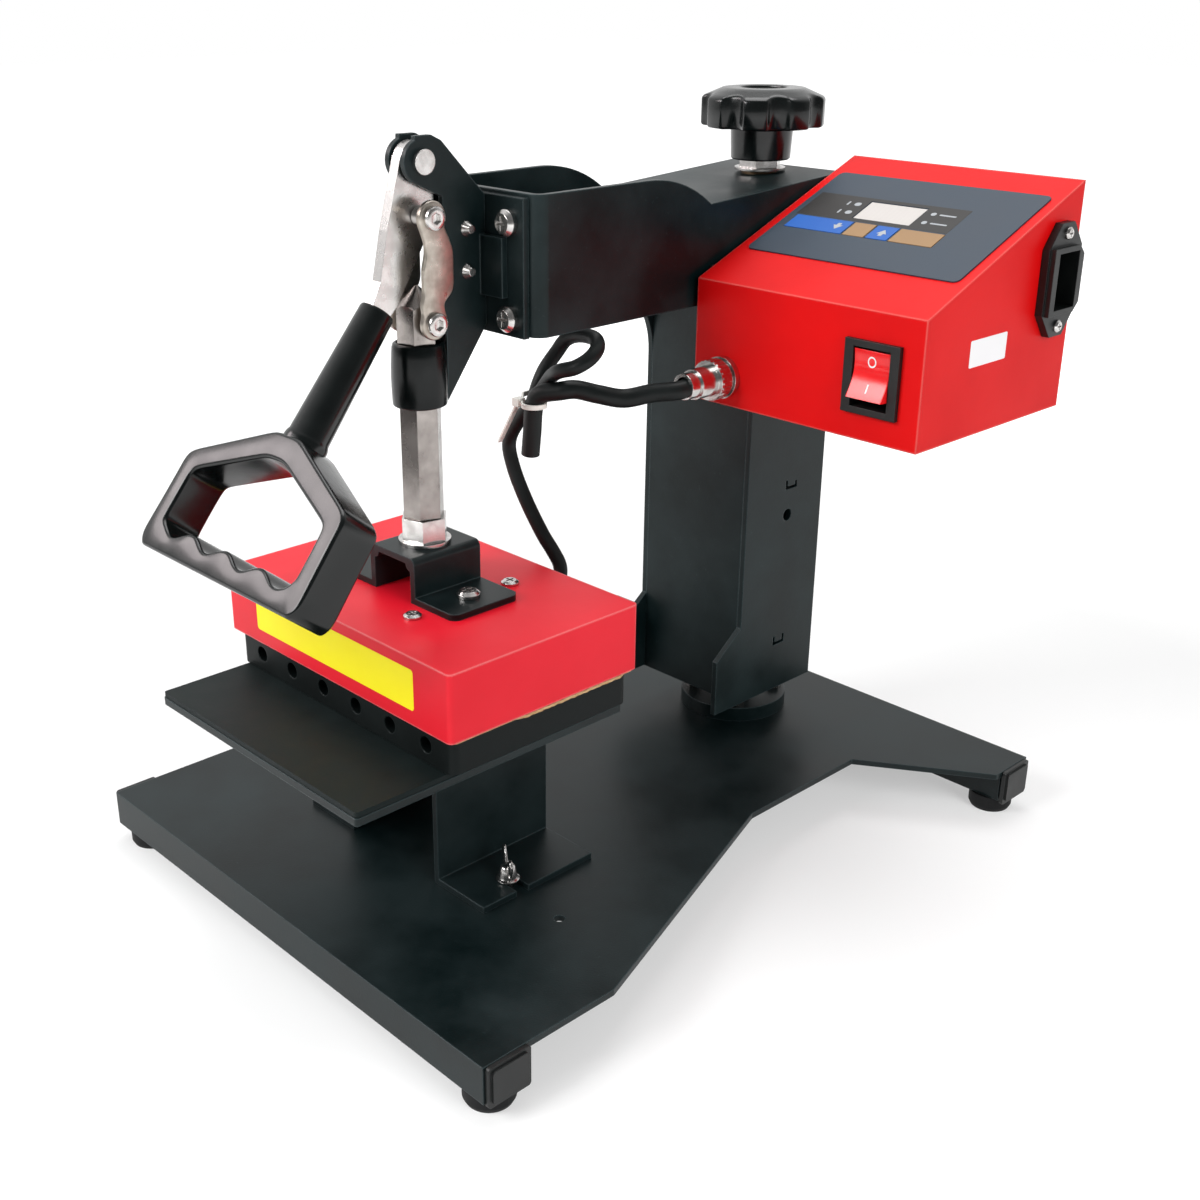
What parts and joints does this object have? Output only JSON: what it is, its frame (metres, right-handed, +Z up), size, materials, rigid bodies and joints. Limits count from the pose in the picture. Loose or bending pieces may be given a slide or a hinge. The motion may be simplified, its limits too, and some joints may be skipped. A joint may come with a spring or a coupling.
{
  "type": "tabletop heat printing press",
  "caption": "Swing-away tabletop heat press: flat base, toggle lever over a heated plate, swivelling arm on a post, screw height knob and a side control box.",
  "frame": {"origin": "centre of the overall box, on the floor plane under the rubber feet", "axes": "+Z up, -Y towards the operator, +X the machine's right-hand side where the control box is"},
  "size_m": [0.3206, 0.3844, 0.3566],
  "materials": {
    "black_powder": "fine satin powder coat",
    "red_paint": "smooth satin enamel",
    "bright_zinc": "bright zinc plate",
    "ground_steel": "ground steel",
    "bronze": "turned bearing bronze",
    "dark_coat": "dark non-stick coat on aluminium",
    "black_plastic": "moulded",
    "gloss_black": "polished moulding",
    "rubber": "moulded rubber",
    "silicone": "soft silicone sheet",
    "cable_jacket": "soft jacket",
    "insulation": "pale fibre board",
    "overlay_film": "printed satin film",
    "key_blue": "printed film key",
    "key_tan": "printed film key",
    "display_glass": "display window",
    "circuit_board": "lacquered board",
    "red_rocker": "moulded",
    "white_nylon": "moulded nylon"
  },
  "bodies": {
    "base": {"base_plate": "black_powder", "front_bar": "black_powder", "rear_bar": "black_powder", "end_caps": "black_plastic", "rubber_feet": "rubber", "base_screws": "bright_zinc", "pivot_flange": "black_powder", "swing_post": "ground_steel", "platen_stand": "black_powder", "lower_platen": "black_powder", "silicone_pad": "silicone", "platen_bolts": "bright_zinc"},
    "wing_right": {"wing_bolt_right": "bright_zinc"},
    "wing_left": {"wing_bolt_left": "bright_zinc"},
    "carriage": {"swing_sleeve": "bronze"},
    "knob": {"star_knob": "gloss_black", "pressure_screw": "ground_steel", "jam_nut": "bright_zinc"},
    "arm": {"arm_frame": "black_powder", "column_front": "black_powder", "column_rear": "black_powder", "arm_top_plate": "black_powder", "pivot_tube": "black_powder", "clamp_plate": "black_powder", "plate_screws": "bright_zinc", "clamp_bracket": "black_powder", "guide_sleeve": "black_powder", "top_pin": "bright_zinc", "box_bracket": "black_powder", "box_shell": "red_paint", "box_back": "black_powder", "box_screws": "bright_zinc", "display_overlay": "overlay_film", "display_lcd": "display_glass", "control_board": "circuit_board", "relay_module": "ground_steel", "power_inlet": "black_plastic", "switch_bezel": "black_plastic", "cable_socket": "bright_zinc", "cable_plug": "bright_zinc", "plug_cable": "cable_jacket", "heater_cable": "cable_jacket", "cable_tie": "white_nylon"},
    "rocker": {"switch_rocker": "red_rocker"},
    "set_key": {"key_set": "key_blue"},
    "down_key": {"key_down": "key_tan"},
    "up_key": {"key_up": "key_blue"},
    "mode_key": {"key_mode": "key_tan"},
    "press": {"hex_ram": "ground_steel", "ram_nut": "bright_zinc", "hat_bracket": "black_powder", "cover_screws": "bright_zinc", "heater_cover": "red_paint", "heater_studs": "ground_steel", "insulation_board": "insulation", "heater_block": "dark_coat", "cable_gland": "black_plastic"},
    "lever": {"lever_arm": "ground_steel", "lever_handle": "gloss_black"},
    "links": {"toggle_links": "bright_zinc"}
  },
  "joints": [
    {"name": "wing_right_turn", "type": "hinge", "parent": "base", "child": "wing_right", "pos_m": [0.04877, -0.08647, 0.03], "axis": [0, 0, 1], "continuous": true},
    {"name": "wing_left_turn", "type": "hinge", "parent": "base", "child": "wing_left", "pos_m": [-0.06123, -0.08647, 0.03], "axis": [0, 0, 1], "continuous": true},
    {"name": "arm_height", "type": "slide", "parent": "base", "child": "carriage", "axis": [0, 0, 1], "range_m": [0, 0.01]},
    {"name": "knob_turn", "type": "hinge", "parent": "carriage", "child": "knob", "pos_m": [-0.00622, 0.13223, 0.32], "axis": [0, 0, 1], "range_deg": [0, 2060]},
    {"name": "arm_swing", "type": "hinge", "parent": "carriage", "child": "arm", "pos_m": [-0.00622, 0.13223, 0.2], "axis": [0, 0, 1], "range_deg": [-90, 90]},
    {"name": "press_stroke", "type": "slide", "parent": "arm", "child": "press", "axis": [0, 0, 1], "range_m": [0, 0.0288], "deforming": ["heater_cable"]},
    {"name": "lever_swing", "type": "hinge", "parent": "arm", "child": "lever", "pos_m": [-0.00622, -0.08428, 0.3395], "axis": [-1, 0, 0], "range_deg": [0, 95.5]},
    {"name": "link_swing", "type": "hinge", "parent": "press", "child": "links", "pos_m": [-0.00622, -0.08428, 0.2755], "axis": [1, 0, 0], "range_deg": [0, 30]},
    {"name": "power_rocker", "type": "hinge", "parent": "arm", "child": "rocker", "pos_m": [0.13028, 0.05122, 0.2533], "axis": [1, 0, 0], "range_deg": [0, 24]},
    {"name": "set_press", "type": "slide", "parent": "arm", "child": "set_key", "axis": [0, 0.3741, -0.9274], "range_m": [0, 0.0004], "stiffness_N_per_m": 500},
    {"name": "down_press", "type": "slide", "parent": "arm", "child": "down_key", "axis": [0, 0.3741, -0.9274], "range_m": [0, 0.0004], "stiffness_N_per_m": 500},
    {"name": "up_press", "type": "slide", "parent": "arm", "child": "up_key", "axis": [0, 0.3741, -0.9274], "range_m": [0, 0.0004], "stiffness_N_per_m": 500},
    {"name": "mode_press", "type": "slide", "parent": "arm", "child": "mode_key", "axis": [0, 0.3741, -0.9274], "range_m": [0, 0.0004], "stiffness_N_per_m": 500}
  ],
  "couplings": [
    {"joint": "knob_turn", "follows": "arm_height", "rad_per_m": 3590.4},
    {"joint": "lever_swing", "follows": "press_stroke", "rad_per_m": 57.572},
    {"joint": "link_swing", "follows": "press_stroke", "rad_per_m": 18.058}
  ]
}
